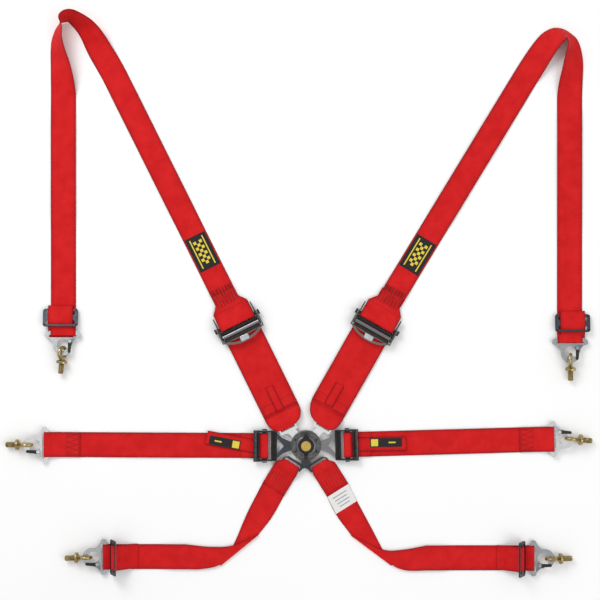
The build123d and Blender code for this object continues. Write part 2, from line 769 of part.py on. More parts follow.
def leg_webbing(side):
    name = side + "_leg"
    bar = LEG_BARS[side]
    top = WEB + LAYER_GAP
    low, high = TONGUE_Z - WRAP_GAP, TONGUE_Z + TONGUE_T + WRAP_GAP
    wrap = ribbon(bar, [(52, top), (22, top), (9, high), (-3.2, high), (-3.2, low), (7, low),
                        (20, WEB), (60, WEB)], BELT_W)
    upper, outward, fold = LEG_SHAPES[side]
    over = 2 * WEB
    run_plane = belt_plane(*ANCHORS[name][:3])
    run = ribbon(run_plane, [(0, over + WEB), (24, over + WEB), (54, WEB)] + hook_end(name, 50), BELT_W)
    inner_side = 25 if side == "left" else -25
    corners = []
    for across in (-inner_side, inner_side):
        spot = point_on(bar, 60, across)
        corners.append((spot.X, spot.Y))
    start, end = Vector(*fold[0]), Vector(*fold[1])
    crease = (end - start).normalized()
    outside = Vector(crease.Y, -crease.X) if side == "right" else Vector(-crease.Y, crease.X)
    across = Plane(origin=(start.X, start.Y, WEB * 1.5), x_dir=outside, z_dir=crease)
    with BuildPart() as webbing:
        add(wrap)
        with BuildSketch():
            with BuildLine():
                Polyline(*corners, *upper, close=True)
            make_face()
        extrude(amount=WEB)
        with BuildSketch(Plane.XY.offset(over)):
            with BuildLine():
                Polyline(*outward, close=True)
            make_face()
        extrude(amount=WEB)
        with BuildSketch(across):
            Circle(1.5 * WEB)
            Circle(0.5 * WEB, mode=Mode.SUBTRACT)
            with Locations((-1.5 * WEB, 0)):
                Rectangle(3 * WEB, 3 * WEB, mode=Mode.SUBTRACT)
        extrude(amount=(end - start).length)
        add(run)
        sign = 1 if side == "left" else -1
        with BuildSketch(bar.offset(-1)):
            with BuildLine():
                Polyline((-7, -12.5 * sign), (-4, -12.5 * sign), (5, -19.5 * sign), (13, -25.1 * sign),
                         (-7, -25.1 * sign), close=True)
            make_face()
            with BuildLine():
                Polyline((-7, 22.5 * sign), (3, 22.5 * sign), (12, 25.1 * sign), (-7, 25.1 * sign),
                         close=True)
            make_face()
        extrude(amount=20, mode=Mode.SUBTRACT)
    save(webbing.part, name + "_webbing")


# ---------------------------------------------------------------- every piece

buckle()
for side, doubled in (("left", 72), ("right", 68)):
    lap_tongue(side)
    lap_adjuster_frame(side)
    lap_adjuster_pin(side)
    lap_grip_bar(side)
    lap_webbing(side, doubled)
lap_pull_tab("left", 169.5)
lap_pull_tab("right", 1)
for side in ("left", "right"):
    shoulder_tongue(side)
    shoulder_lower_webbing(side)
    shoulder_loop_webbing(side)
    shoulder_upper_webbing(side)
    shoulder_adjuster_frame(side)
    shoulder_adjuster_bars(side)
    shoulder_lever(side)
for name in SLIDES:
    slide(name)
leg_connector()
leg_webbing("left")
leg_webbing("right")
for name in ANCHORS:
    snap_hook(name)
    gate(name)
    eye_bolt(name)
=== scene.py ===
import json
import math

import bmesh
import bpy
from mathutils import Matrix, Vector, noise


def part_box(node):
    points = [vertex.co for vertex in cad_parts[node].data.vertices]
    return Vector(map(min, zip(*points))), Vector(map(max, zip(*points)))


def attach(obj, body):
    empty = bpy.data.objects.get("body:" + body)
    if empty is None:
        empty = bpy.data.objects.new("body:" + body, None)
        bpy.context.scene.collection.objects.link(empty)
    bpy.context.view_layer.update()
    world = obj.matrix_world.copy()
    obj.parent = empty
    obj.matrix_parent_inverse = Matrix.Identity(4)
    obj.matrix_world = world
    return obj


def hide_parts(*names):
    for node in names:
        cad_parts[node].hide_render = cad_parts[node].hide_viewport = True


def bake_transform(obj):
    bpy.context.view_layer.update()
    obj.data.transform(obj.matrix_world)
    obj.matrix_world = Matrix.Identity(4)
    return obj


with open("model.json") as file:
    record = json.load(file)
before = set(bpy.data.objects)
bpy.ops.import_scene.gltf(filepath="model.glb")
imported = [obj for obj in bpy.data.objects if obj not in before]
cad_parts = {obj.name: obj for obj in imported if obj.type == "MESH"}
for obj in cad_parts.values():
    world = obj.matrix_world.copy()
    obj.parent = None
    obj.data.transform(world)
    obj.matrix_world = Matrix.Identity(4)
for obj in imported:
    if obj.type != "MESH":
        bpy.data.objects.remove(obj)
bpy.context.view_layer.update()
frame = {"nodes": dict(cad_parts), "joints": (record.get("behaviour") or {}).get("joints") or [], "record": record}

# Lengths are in millimetres and Place turns them into metres in the row frame. Webbing
# paths run along a belt, seen from its side: x along the belt, y up from the floor.
MM = 0.001
WEB = 1.5                  # thickness of the webbing
BELT_W = 50                # 2 inch webbing
SHOULDER_W = 75            # 3 inch webbing
TAB_W = 28                 # pull tabs of the lap belts
TOP = WEB + 0.3            # underside of a second layer lying on the first
TONGUE_Z = 6               # underside of the tongues
TONGUE_T = 3
WRAP = 0.2                 # space between a bar and the webbing round it
SIDES = ("left", "right")
ANCHORS = ("left_lap", "right_lap", "left_shoulder", "right_shoulder", "left_leg", "right_leg")
JOINTS = {joint["name"]: joint for joint in frame["joints"]}
UP = Vector((0, 0, 1))


# ---------------------------------------------------------------- places

class Place:
    """a local frame in the row frame: x along, y to the left of it, z up"""

    def __init__(self, origin, along, up=UP):
        self.origin = Vector(origin)
        self.z = Vector(up).normalized()
        along = Vector(along)
        self.x = (along - self.z * along.dot(self.z)).normalized()
        self.y = self.z.cross(self.x)

    def at(self, along, across=0.0, up=0.0):
        return self.origin + (self.x * along + self.y * across + self.z * up) * MM

    def moved(self, along=0.0, across=0.0, up=0.0):
        return Place(self.at(along, across, up), self.x, self.z)

    def turned(self, degrees):
        return Place(self.origin, Matrix.Rotation(math.radians(degrees), 3, self.z) @ self.x, self.z)


def joint_pos(name):
    return Vector(JOINTS[name]["pos_m"])


def joint_axis(name):
    return Vector(JOINTS[name]["axis"])


def level(vector):
    return Vector((vector.x, vector.y, 0)).normalized()


LAP_PIN = (82.5, 7)        # adjuster pin of a lap belt, along and up
PIVOT_Z = 10               # pivot pin of a shoulder adjuster


def lap_place(side):
    """on the floor under the buckle, x out along the lap belt"""
    joint = side + "_lap_grip"
    pin = Place(joint_pos(joint), joint_axis(joint).cross(UP) * -1)
    return pin.moved(-LAP_PIN[0], 0, -LAP_PIN[1])


def adjuster_place(side):
    """on the floor under the adjuster's pivot pin, x down the belt to the buckle"""
    joint = side + "_shoulder_lever_lift"
    return Place(joint_pos(joint), joint_axis(joint).cross(UP) * -1).moved(up=-PIVOT_Z)


def hook_place(name):
    """in the middle of the ring, in the plane of the hook's plate, x towards the nose"""
    centre = joint_pos(name + "_eye_bolt_swing")
    normal = joint_axis(name + "_gate_open")
    if normal.z < 0:
        normal = -normal
    return Place(centre, level(-normal), normal)


def bolt_place(name):
    """in the middle of the ring, x along the shank and y along the ring's own axis"""
    shank = next(mount for mount in frame["record"]["mounts"] if mount["name"] == name + "_shank")
    ring_axis = -joint_axis(name + "_eye_bolt_swing")
    along = Vector(shank["axis"])
    return Place(joint_pos(name + "_eye_bolt_swing"), along, along.cross(ring_axis))


HOOK_REACH = 34.2          # ring centre beyond the end of the webbing


def far_run(name, length):
    """on the floor at the start of a belt's far straight run, x towards its hook"""
    hook = hook_place(name)
    foot = Vector((hook.origin.x, hook.origin.y, 0))
    return Place(foot, level(hook.x)).moved(-length - HOOK_REACH)


# ---------------------------------------------------------------- meshes

def add_mesh(name, vertices, faces, smooth=True):
    mesh = bpy.data.meshes.new(name)
    mesh.from_pydata([tuple(v) for v in vertices], [], faces)
    outward = bmesh.new()
    outward.from_mesh(mesh)
    bmesh.ops.recalc_face_normals(outward, faces=outward.faces)
    outward.to_mesh(mesh)
    outward.free()
    obj = bpy.data.objects.new(name, mesh)
    bpy.context.scene.collection.objects.link(obj)
    for polygon in mesh.polygons:
        polygon.use_smooth = smooth
    return obj


def grid_faces(rows, columns, closed_rows=False, closed_columns=True):
    """quads of a grid of rows x columns vertices, row by row"""
    faces = []
    for i in range(rows if closed_rows else rows - 1):
        for j in range(columns if closed_columns else columns - 1):
            k, l = (i + 1) % rows, (j + 1) % columns
            faces.append((i * columns + j, i * columns + l, k * columns + l, k * columns + j))
    return faces


def capped(vertices, around):
    """faces of a tube given as rings of vertices, with both ends closed"""
    faces = grid_faces(len(vertices) // around, around)
    return faces + [tuple(range(around))[::-1], tuple(range(len(vertices) - around, len(vertices)))]


def finish_piece(obj, body, material, bevel=0.0):
    """material, optional rounded edges (mm) and body of a finished piece"""
    obj.data.materials.clear()
    obj.data.materials.append(material)
    if bevel:
        round_edges(obj, bevel)
    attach(obj, body)
    return obj


def round_edges(obj, size, segments=2):
    bevel = obj.modifiers.new("edges", "BEVEL")
    bevel.width = size * MM
    bevel.segments = segments
    bevel.limit_method = "ANGLE"
    bevel.angle_limit = math.radians(35)
    bevel.harden_normals = False


def rounded(corners, cut, steps=6):
    """a broken line with its corners rounded; a corner may give its own cut as its third value"""
    points = [Vector(corners[0][:2])]
    for before, corner, after in zip(corners, corners[1:], corners[2:]):
        a, p, b = Vector(before[:2]), Vector(corner[:2]), Vector(after[:2])
        reach = min(corner[2] if len(corner) > 2 else cut, (a - p).length * 0.49, (b - p).length * 0.49)
        start, end = p + (a - p).normalized() * reach, p + (b - p).normalized() * reach
        for i in range(steps + 1):
            t = i / steps
            points.append(start * (1 - t) ** 2 + p * 2 * t * (1 - t) + end * t ** 2)
    points.append(Vector(corners[-1][:2]))
    return points


def beside(corners, distance):
    """the corners of a broken line moved to its right by distance, keeping their own cuts"""
    moved = []
    for i, corner in enumerate(corners):
        normals = []
        for a, b in ((i - 1, i), (i, i + 1)):
            if a >= 0 and b < len(corners):
                run = Vector(corners[b][:2]) - Vector(corners[a][:2])
                normals.append(Vector((run.y, -run.x)).normalized())
        mitre = normals[0] + normals[-1]
        mitre = mitre * (distance / mitre.dot(normals[0]))
        moved.append((corner[0] + mitre.x, corner[1] + mitre.y) + tuple(corner[2:]))
    return moved


def spaced(points, step):
    """the same line with points no further apart than step"""
    line = [points[0]]
    for a, b in zip(points, points[1:]):
        parts = max(1, math.ceil((b - a).length / step))
        line += [a.lerp(b, i / parts) for i in range(1, parts + 1)]
    return line


def through(values, steps):
    """Catmull-Rom curve through a list of vectors"""
    line = []
    ends = [values[0] * 2 - values[1]] + list(values) + [values[-1] * 2 - values[-2]]
    for a, b, c, d in zip(ends, ends[1:], ends[2:], ends[3:]):
        for i in range(steps):
            t = i / steps
            line.append(0.5 * (2 * b + (c - a) * t + (2 * a - 5 * b + 4 * c - d) * t ** 2
                               + (3 * b - a - 3 * c + d) * t ** 3))
    line.append(values[-1].copy())
    return line


# ---------------------------------------------------------------- webbing

# section of a selvedge: distance in from the edge, and half the thickness there
SELVEDGE = ((0.0, 0.0), (0.3, 0.42), (0.9, 0.68), (2.2, 0.75))
RIM = (1.0, 1.0, 0.8, 0.3)     # how dark the webbing's edge is at those distances


def swell(point):
    """0 to 1, how far a belt lifts off the floor where nothing holds it down"""
    return 0.5 + 0.5 * noise.noise(Vector((point.x * 9, point.y * 9, 3.7)))


def ease(value, low, high):
    t = min(1.0, max(0.0, (value - low) / (high - low)))
    return t * t * (3 - 2 * t)


def flat_stations(place, corners, left, right, cut=4.0, rise=None, flip=False):
    """edge points of webbing that lies on the right of a side-view line"""
    stations = []
    for p in spaced(rounded(beside(corners, WEB / 2), cut), 5):
        wide_left = left(p.x) if callable(left) else left
        wide_right = right(p.x) if callable(right) else right
        a, b = place.at(p.x, wide_left, p.y), place.at(p.x, -wide_right, p.y)
        lift = rise(p.x) if rise else 0.0
        stations.append((b, a, lift) if flip else (a, b, lift))
    return stations


def webbing(name, stations, width, body, nodes):
    """closed strip of webbing through stations of (left edge, right edge, rise in mm)"""
    middles = [(left + right) / 2 for left, right, _ in stations]
    inner = max(4, round(width / 6))
    columns = [("left", edge, half, rim) for (edge, half), rim in zip(SELVEDGE, RIM)]
    columns += [("inner", i / inner, WEB / 2, 0.0) for i in range(1, inner)]
    columns += [("right", edge, half, rim) for (edge, half), rim in zip(SELVEDGE[::-1], RIM[::-1])]
    last = len(columns) - 1
    vertices, uvs, rims = [], [], []
    travelled = 0.0
    for i, (left, right, rise) in enumerate(stations):
        ahead = middles[min(i + 1, len(middles) - 1)] - middles[max(i - 1, 0)]
        if i:
            travelled += (middles[i] - middles[i - 1]).length
        across = left - right
        normal = ahead.cross(across).normalized()
        span = across.length
        across.normalize()
        ring = []
        for kind, value, half, rim in columns:
            if kind == "left":
                share = 1 - value * MM / span
            elif kind == "right":
                share = value * MM / span
            else:
                share = 1 - (SELVEDGE[-1][0] * MM + value * (span - 2 * SELVEDGE[-1][0] * MM)) / span
            point = right + across * span * share
            point.z += rise * swell(point) * MM
            ring.append((point, half * MM, (share - 0.5) * width * MM, rim))
        for point, half, v, rim in ring:
            vertices.append(point + normal * half)
            uvs.append((travelled, v))
            rims.append(rim)
        for point, half, v, rim in ring[last - 1:0:-1]:
            vertices.append(point - normal * half)
            uvs.append((travelled, v))
            rims.append(rim)
    around = 2 * len(columns) - 2
    faces = [face[::-1] for face in grid_faces(len(stations), around)]
    faces += [tuple(range(around)), tuple(range(len(vertices) - 1, len(vertices) - around - 1, -1))]
    strip = add_mesh(name, vertices, faces)
    layer = strip.data.uv_layers.new(name="UVMap")
    for loop in strip.data.loops:
        layer.data[loop.index].uv = uvs[loop.vertex_index]
    rim_layer = strip.data.attributes.new("rim", "FLOAT", "POINT")
    rim_layer.data.foreach_set("value", rims)
    strip.data.materials.append(material_webbing())
    if body:
        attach(strip, body)
    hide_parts(*nodes)
    return strip


def hook_end(name, length, doubled):
    """inner side of a run's far end: lower layer, loop through the hook, upper layer sewn back"""
    hook = hook_place(name)
    height = hook.origin.z / MM
    climb = math.asin(hook.x.z)
    half = 1.5 + WRAP
    wrap = []
    for u, w in ((-46, -half), (-36 + WRAP, -half), (-36 + WRAP, half), (-46, half)):
        along = length + HOOK_REACH + u * math.cos(climb) - w * math.sin(climb)
        wrap.append((along, height + u * math.sin(climb) + w * math.cos(climb), 1.6))
    lift = wrap[0][0] - 14
    return [(lift, WEB, 8)] + wrap + [(lift - 4, TOP, 8), (length - doubled, TOP)]


LAP_RUNS = {"left": (523, 72), "right": (495, 68)}      # end of the webbing, doubled length
LAP_BODY = {"left": "buckle", "right": "right_lap"}     # the left lap belt stays on the buckle


def lap_webbing(side):
    length, doubled = LAP_RUNS[side]
    name = side + "_lap"
    bar_top, bar_low, near = LAP_PIN[1] + 3.2, LAP_PIN[1] - 3.2, LAP_PIN[0] - 5.7
    corners = [(130, TOP), (108, TOP, 8), (92.5, 4.6, 5), (87, bar_top, 3), (near, bar_top, 3.1),
               (near, bar_low, 3.1), (90, bar_low, 5), (104, WEB, 8)] + hook_end(name, length, doubled)

    def rise(along):
        return 2.6 * ease(along, 205, 260) * (1 - ease(along, length - 130, length - 95))

    half = BELT_W / 2
    webbing(name + "_belt", flat_stations(lap_place(side), corners, half, half, rise=rise), BELT_W,
            LAP_BODY[side], [name + "_webbing"])


SHOULDER_RUNS = {"left": (471, 56), "right": (485, 56)}
UPPER_TURN = {"left": 0.3, "right": -1.7}      # degrees from the adjuster to the belt above it

# row x and y, heading and lean of the belt where it turns back on itself, after a climb
TURNS = {
    "left": (550, ((-410, 786, 125, -8), (-435, 828, 124, -36), (-460, 850, 133, -56),
                   (-474, 855, 160, -68), (-485, 848, 225, -80), (-490, 835, 262, -108),
                   (-495, 811, 267, -121), (-494, 789, 271, -131), (-489, 755, 275, -149),
                   (-485.5, 718, 272, -169), (-485, 690, 270, -180))),
    "right": (572, ((477, 794, 46, -21), (497, 815, 38, -38), (512, 820, 14, -57), (524, 809, -26, -54),
                    (530, 794, -50, -40), (532, 762, -72, -24), (528.5, 722, -83, -8),
                    (527, 690, -90, 0))),
}


def turn_stations(side, upper, run):
    climb, turns = TURNS[side]
    travel = math.degrees(math.atan2(-upper.x.y, -upper.x.x))
    values = []
    for along in (60 - climb, -climb):
        spot = upper.at(along) / MM
        values.append(Vector((spot.x, spot.y, travel, 0)))
    values += [Vector(turn) for turn in turns]
    spot = run.at(60) / MM
    values.append(Vector((spot.x, spot.y, turns[-1][2], turns[-1][3])))
    steps = 8
    stations = []
    for x, y, heading, lean in through(values, steps)[steps + 1:-steps - 1]:
        turn, tip = math.radians(heading), math.radians(lean)
        across = Vector((-math.sin(turn) * math.cos(tip), math.cos(turn) * math.cos(tip), math.sin(tip)))
        middle = Vector((x, y, BELT_W / 2 * abs(math.sin(tip)) + WEB / 2)) * MM
        half = across * BELT_W / 2 * MM
        stations.append((middle + half, middle - half, 0.0))
    return stations


def shoulder_upper(side):
    """2 inch belt: from the adjuster up, round the standing turn and down to the hook"""
    name = side + "_shoulder"
    length, doubled = SHOULDER_RUNS[side]
    upper = adjuster_place(side).turned(UPPER_TURN[side])
    run = far_run(name, length)
    climb = TURNS[side][0]
    half = BELT_W / 2
    over = 2 * WEB + 0.3

    def rise_up(along):
        return 2.8 * ease(-along, 215, 260) * (1 - ease(-along, climb - 60, climb - 10))

    def rise_down(along):
        return 2.8 * ease(along, 0, 60) * (1 - ease(along, length - 250, length - 195))

    climb_corners = [(-climb, WEB), (-110, WEB, 8), (-80, over, 8), (-23, over)]
    stations = flat_stations(upper, climb_corners, half, half, rise=rise_up, flip=True)[::-1]
    stations += turn_stations(side, upper, run)
    stations += flat_stations(run, [(0, WEB)] + hook_end(name, length, doubled), half, half,
                              rise=rise_down, flip=side == "left")
    webbing(name + "_upper_belt", stations, BELT_W, name, [name + "_upper_webbing"])


TONGUE_BAR = 231           # bar of a shoulder tongue, down the belt from the pivot pin
TONGUE_SHIFT = {"left": -3, "right": 9}
LOOP_BAR = (15, 4.1)       # bar that the lower belt runs round, along and up
LOOP_BAR_R = 2.4
TAIL_END = 197


def shoulder_lower(side):
    """3 inch belt: round the loop bar, down to the tongue's bar and back on itself"""
    bar_up = LOOP_BAR[1] + LOOP_BAR_R + WRAP
    near = LOOP_BAR[0] - LOOP_BAR_R - WRAP
    low, high = TONGUE_Z - WRAP, TONGUE_Z + TONGUE_T + WRAP
    front = TONGUE_BAR + 3.2
    corners = [(TAIL_END, TOP), (38, TOP, 8), (24, bar_up, 6), (near, bar_up, 3), (near, WEB, 3),
               (200, WEB, 8), (216, low, 6), (front, low, 1.7), (front, high, 1.7), (222, high, 7),
               (207, 4.5, 3), (202, 3.5)]
    shift = TONGUE_SHIFT[side]
    starts = {"left": (203, 203), "right": (204, 190)}[side]
    slot_half = 15.2

    def extent(start, sign):
        """elliptical shoulder from the full width down to the slot of the tongue"""
        narrow = slot_half + sign * shift

        def reach(along):
            share = min(1.0, max(0.0, (along - start) / (TONGUE_BAR + 2.6 - start)))
            return narrow + (SHOULDER_W / 2 - narrow) * math.sqrt(1 - share ** 2)
        return reach

    def rise(along):
        return 0.9 * ease(along, 55, 90) * (1 - ease(along, 120, 150))

    stations = flat_stations(adjuster_place(side), corners, extent(starts[0], 1), extent(starts[1], -1),
                             rise=rise)
    webbing(side + "_shoulder_lower_belt", stations, SHOULDER_W, side + "_shoulder",
            [side + "_shoulder_lower_webbing"])


def shoulder_loop(side):
    """short 3 inch piece round the pivot pin, its two ends sewn over the 2 inch belt"""
    reach = 3.5 + WRAP
    over = 2 * WEB + 0.6
    corners = [(-66, WEB), (-20, WEB, 6), (-6, PIVOT_Z - reach, 4), (reach, PIVOT_Z - reach, 3.6),
               (reach, PIVOT_Z + reach, 3.6), (-6, PIVOT_Z + reach, 5), (-26, over, 8), (-66, over)]

    def extent(along):
        return 24.8 + 12.7 * min(1, max(0, (along + 47) / 15))

    webbing(side + "_shoulder_loop", flat_stations(adjuster_place(side), corners, extent, extent), SHOULDER_W,
            side + "_shoulder", [side + "_shoulder_loop_webbing"])


# leg straps: place and heading of the connector's bars, then the two edges of each strap
# from the bar to its fold and from the fold to its straight run, in row x and y
LEG_BARS = {"left": (-34, -37, -121.3), "right": (31, -38, -58)}
LEG_RUNS = {"left": 165, "right": 215}
LEG_EDGES = {
    "left": (((-68, -144), (-95, -179)), ((-118, -137), (-145, -199), (-172, -239)),
             ((-95, -179), (-146, -200), (-191, -203), (-241, -198)),
             ((-172, -239), (-185, -244), (-212, -248), (-241, -248))),
    "right": (((60, -139), (90, -180)), ((101, -110), (131, -166), (154, -210), (172, -239)),
              ((90, -180), (152, -208), (192, -209), (241, -200.5)),
              ((172, -239), (184, -246), (206, -251), (241, -250.5))),
}


def leg_bar_place(side):
    """at a leg strap's bar on the connector, x out along the strap"""
    x, y, heading = LEG_BARS[side]
    turn = math.radians(heading)
    return Place(Vector((x, y, 0)) * MM, (math.cos(turn), math.sin(turn), 0))


def along_edge(points, share):
    """the point a share of the way along a curve through points"""
    line = through([Vector(p) for p in points], 12)
    lengths = [0.0]
    for a, b in zip(line, line[1:]):
        lengths.append(lengths[-1] + (b - a).length)
    target = share * lengths[-1]
    for i in range(1, len(line)):
        if lengths[i] >= target - 1e-9:
            part = (target - lengths[i - 1]) / max(1e-9, lengths[i] - lengths[i - 1])
            return line[i - 1].lerp(line[i], part)
    return line[-1]


def leg_belt(side):
    """from the connector's bar, over a soft flat fold, out to the snap hook"""
    name = side + "_leg"
    bar = leg_bar_place(side)
    low, high = TONGUE_Z - WRAP, TONGUE_Z + TONGUE_T + WRAP
    half = BELT_W / 2
    inward = 1 if side == "left" else -1

    def reach(far):
        """half the belt's width, less by far at the bar"""
        return lambda along: half - far * (1 - ease(along, -4, 12))

    wide_in, wide_out = reach(10.5), reach(3.2)
    left, right = (wide_out, wide_in) if side == "left" else (wide_in, wide_out)
    corners = [(60, TOP), (22, TOP, 6), (9, high, 5), (-3.2, high, 1.6), (-3.2, low, 1.6), (7, low, 5),
               (20, WEB, 6), (60, WEB)]
    stations = flat_stations(bar, corners, left, right)
    inner_edge, outer_edge, inner_out, outer_out = LEG_EDGES[side]
    starts = [bar.at(60, inward * half) / MM, bar.at(60, -inward * half) / MM]
    edges = (((starts[0].x, starts[0].y),) + inner_edge, ((starts[1].x, starts[1].y),) + outer_edge)

    def station(pair, share, height, push=Vector((0, 0))):
        """inner and outer edge points; the fold bulges at its outer end only"""
        points = []
        for edge, bulge in zip(pair, (0.0, 1.0)):
            spot = along_edge(edge, share) + push * bulge
            points.append(Vector((spot.x, spot.y, height)) * MM)
        inner_point, outer_point = points
        return (inner_point, outer_point, 0.0) if side == "left" else (outer_point, inner_point, 0.0)

    rows = 26
    for i in range(1, rows):
        stations.append(station(edges, i / rows, WEB / 2))
    crease = Vector(outer_edge[-1]) - Vector(inner_edge[-1])
    outside = Vector((crease.y, -crease.x)).normalized()
    if outside.y > 0:
        outside = -outside
    for i in range(9):
        angle = math.pi * i / 8
        stations.append(station(edges, 1.0, 2.25 - 1.5 * math.cos(angle), outside * 2.0 * math.sin(angle)))
    for i in range(1, rows):
        stations.append(station((inner_out, outer_out), i / rows, WEB * 2.5))
    run = far_run(name, LEG_RUNS[side])
    over = 3 * WEB
    end = hook_end(name, LEG_RUNS[side], 50)
    stations += flat_stations(run, [(0, over), (24, over, 8), (54, WEB, 8)] + end, half, half, flip=True)
    webbing(name + "_belt", stations, BELT_W, "legs", [name + "_webbing"])


# ---------------------------------------------------------------- materials

class Nodes:
    """short hand for building one material's node tree"""

    def __init__(self, name):
        self.material = bpy.data.materials.new(name)
        self.material.use_nodes = True
        self.tree = self.material.node_tree
        self.tree.nodes.clear()
        self.output = self.tree.nodes.new("ShaderNodeOutputMaterial")
        self.shader = self.tree.nodes.new("ShaderNodeBsdfPrincipled")
        self.link(self.shader.outputs[0], self.output.inputs["Surface"])

    def link(self, source, target):
        self.tree.links.new(source, target)

    def put(self, node, socket, value):
        if hasattr(value, "is_output"):
            self.link(value, node.inputs[socket])
        else:
            node.inputs[socket].default_value = value

    def set(self, socket, value):
        self.put(self.shader, socket, value)

    def math(self, operation, a, b=0.0, c=0.0):
        node = self.tree.nodes.new("ShaderNodeMath")
        node.operation = operation
        for index, value in enumerate((a, b, c)):
            self.put(node, index, value)
        return node.outputs[0]

    def mix(self, share, a, b):
        node = self.tree.nodes.new("ShaderNodeMix")
        node.data_type = "RGBA"
        self.put(node, 0, share)
        self.put(node, 6, a if hasattr(a, "is_output") else (*a, 1))
        self.put(node, 7, b if hasattr(b, "is_output") else (*b, 1))
        return node.outputs[2]

    def noise(self, scale, detail=3.0, roughness=0.55, vector=None):
        node = self.tree.nodes.new("ShaderNodeTexNoise")
        node.inputs["Scale"].default_value = scale
        node.inputs["Detail"].default_value = detail
        node.inputs["Roughness"].default_value = roughness
        self.link(vector or self.place(), node.inputs["Vector"])
        return node.outputs["Fac"]

    def cells(self, scale):
        node = self.tree.nodes.new("ShaderNodeTexVoronoi")
        node.inputs["Scale"].default_value = scale
        self.link(self.place(), node.inputs["Vector"])
        return node.outputs["Distance"]

    def place(self):
        return self.tree.nodes.new("ShaderNodeTexCoord").outputs["Object"]

    def span(self, value, low, high, new_low=0.0, new_high=1.0):
        node = self.tree.nodes.new("ShaderNodeMapRange")
        for index, number in enumerate((value, low, high, new_low, new_high)):
            self.put(node, index, number)
        return node.outputs[0]

    def bump(self, height, depth, strength=1.0):
        node = self.tree.nodes.new("ShaderNodeBump")
        node.inputs["Distance"].default_value = depth * MM
        node.inputs["Strength"].default_value = strength
        self.link(height, node.inputs["Height"])
        self.link(node.outputs[0], self.shader.inputs["Normal"])
        return node.outputs[0]

    def edges(self):
        """1 on edges and corners that stand out, 0 on flats"""
        geometry = self.tree.nodes.new("ShaderNodeNewGeometry")
        return self.span(geometry.outputs["Pointiness"], 0.52, 0.6)


MATERIALS = {}


def made_once(build):
    """a material function that builds its material the first time and then returns it"""
    def material(*values):
        key = (build.__name__,) + values
        if key not in MATERIALS:
            MATERIALS[key] = build(*values)
        return MATERIALS[key]
    return material


RED = (0.56, 0.0085, 0.0100)
RED_DEEP = (0.38, 0.004, 0.005)
RED_BRIGHT = (0.66, 0.014, 0.015)
RED_RIM = (0.17, 0.004, 0.006)
RIB = 1.55                 # width of one rib of the weave, mm
PICK = 1.1                 # length of one pick of the weave, mm


@made_once
def material_webbing():
    """red polyester webbing: herringbone ribs along the belt, darker selvedges, faint mottling"""
    n = Nodes("webbing")
    uv = n.tree.nodes.new("ShaderNodeUVMap")
    uv.uv_map = "UVMap"
    split = n.tree.nodes.new("ShaderNodeSeparateXYZ")
    n.link(uv.outputs[0], split.inputs[0])
    along, across = split.outputs[0], split.outputs[1]
    rib = n.math("MULTIPLY", across, 1 / (RIB * MM))
    rib_wave = n.math("ABSOLUTE", n.math("SINE", n.math("MULTIPLY", rib, math.pi)))
    lean = n.math("PINGPONG", rib, 1.0)
    pick = n.math("ADD", n.math("MULTIPLY", along, 1 / (PICK * MM)), lean)
    pick_wave = n.math("ABSOLUTE", n.math("SINE", n.math("MULTIPLY", pick, math.pi)))
    weave = n.math("MULTIPLY", n.math("POWER", rib_wave, 0.6), n.math("POWER", pick_wave, 0.5))
    mottle = n.noise(38, 4, 0.6)
    fibres = n.noise(900, 2, 0.5)
    rim = n.tree.nodes.new("ShaderNodeAttribute")
    rim.attribute_name = "rim"
    tone = n.mix(n.span(mottle, 0.35, 0.65), RED, RED_BRIGHT)
    tone = n.mix(n.span(weave, 0.0, 0.6, 0.55, 0.0), tone, RED_DEEP)
    tone = n.mix(n.span(rim.outputs["Fac"], 0.0, 1.0, 0.0, 0.9), tone, RED_RIM)
    n.set("Base Color", tone)
    n.set("Roughness", n.span(fibres, 0.3, 0.7, 0.62, 0.8))
    n.set("Specular IOR Level", 0.12)
    n.set("Sheen Weight", 0.04)
    n.set("Sheen Roughness", 0.45)
    n.set("Sheen Tint", (1.0, 0.35, 0.35, 1))
    height = n.math("ADD", weave, n.math("MULTIPLY", fibres, 0.25))
    n.bump(height, 0.22, 0.8)
    return n.material


@made_once
def material_thread(name, colour):
    """twisted sewing thread with a soft shine"""
    n = Nodes(name)
    n.set("Base Color", n.mix(n.noise(700, 2), colour, tuple(c * 0.6 for c in colour)))
    n.set("Roughness", n.span(n.noise(1500, 2), 0.3, 0.7, 0.45, 0.7))
    n.set("Specular IOR Level", 0.35)
    n.bump(n.noise(2500, 2), 0.1)
    return n.material


@made_once
def material_label(name, colour, shade):
    """finely woven label cloth"""
    n = Nodes(name)
    grain = n.math("MULTIPLY", n.noise(1600, 2), n.noise(420, 3))
    n.set("Base Color", n.mix(n.span(grain, 0.12, 0.42), shade, colour))
    n.set("Roughness", n.span(n.noise(700, 3), 0.3, 0.7, 0.55, 0.78))
    n.set("Specular IOR Level", 0.3)
    n.bump(n.noise(1900, 2), 0.12)
    return n.material


@made_once
def material_metal(name, colour, stain, roughness, wear, metallic=1.0, grain=90.0, depth=0.03, specular=0.5):
    """plated or bare metal: cloudy colour, uneven polish, brighter worn edges, fine marks"""
    n = Nodes(name)
    cloud = n.noise(grain, 5, 0.62)
    fine = n.noise(grain * 9, 3, 0.6)
    tone = n.mix(n.span(cloud, 0.36, 0.64), colour, stain)
    n.set("Base Color", n.mix(n.math("MULTIPLY", n.edges(), n.span(fine, 0.3, 0.6)), tone, wear))
    n.set("Metallic", metallic)
    n.set("Specular IOR Level", specular)
    n.set("Roughness", n.math("ADD", n.span(cloud, 0.3, 0.7, roughness - 0.07, roughness + 0.08),
                              n.span(fine, 0.3, 0.7, -0.05, 0.05)))
    n.bump(n.math("ADD", fine, n.math("MULTIPLY", n.cells(grain * 4), 0.6)), depth)
    return n.material


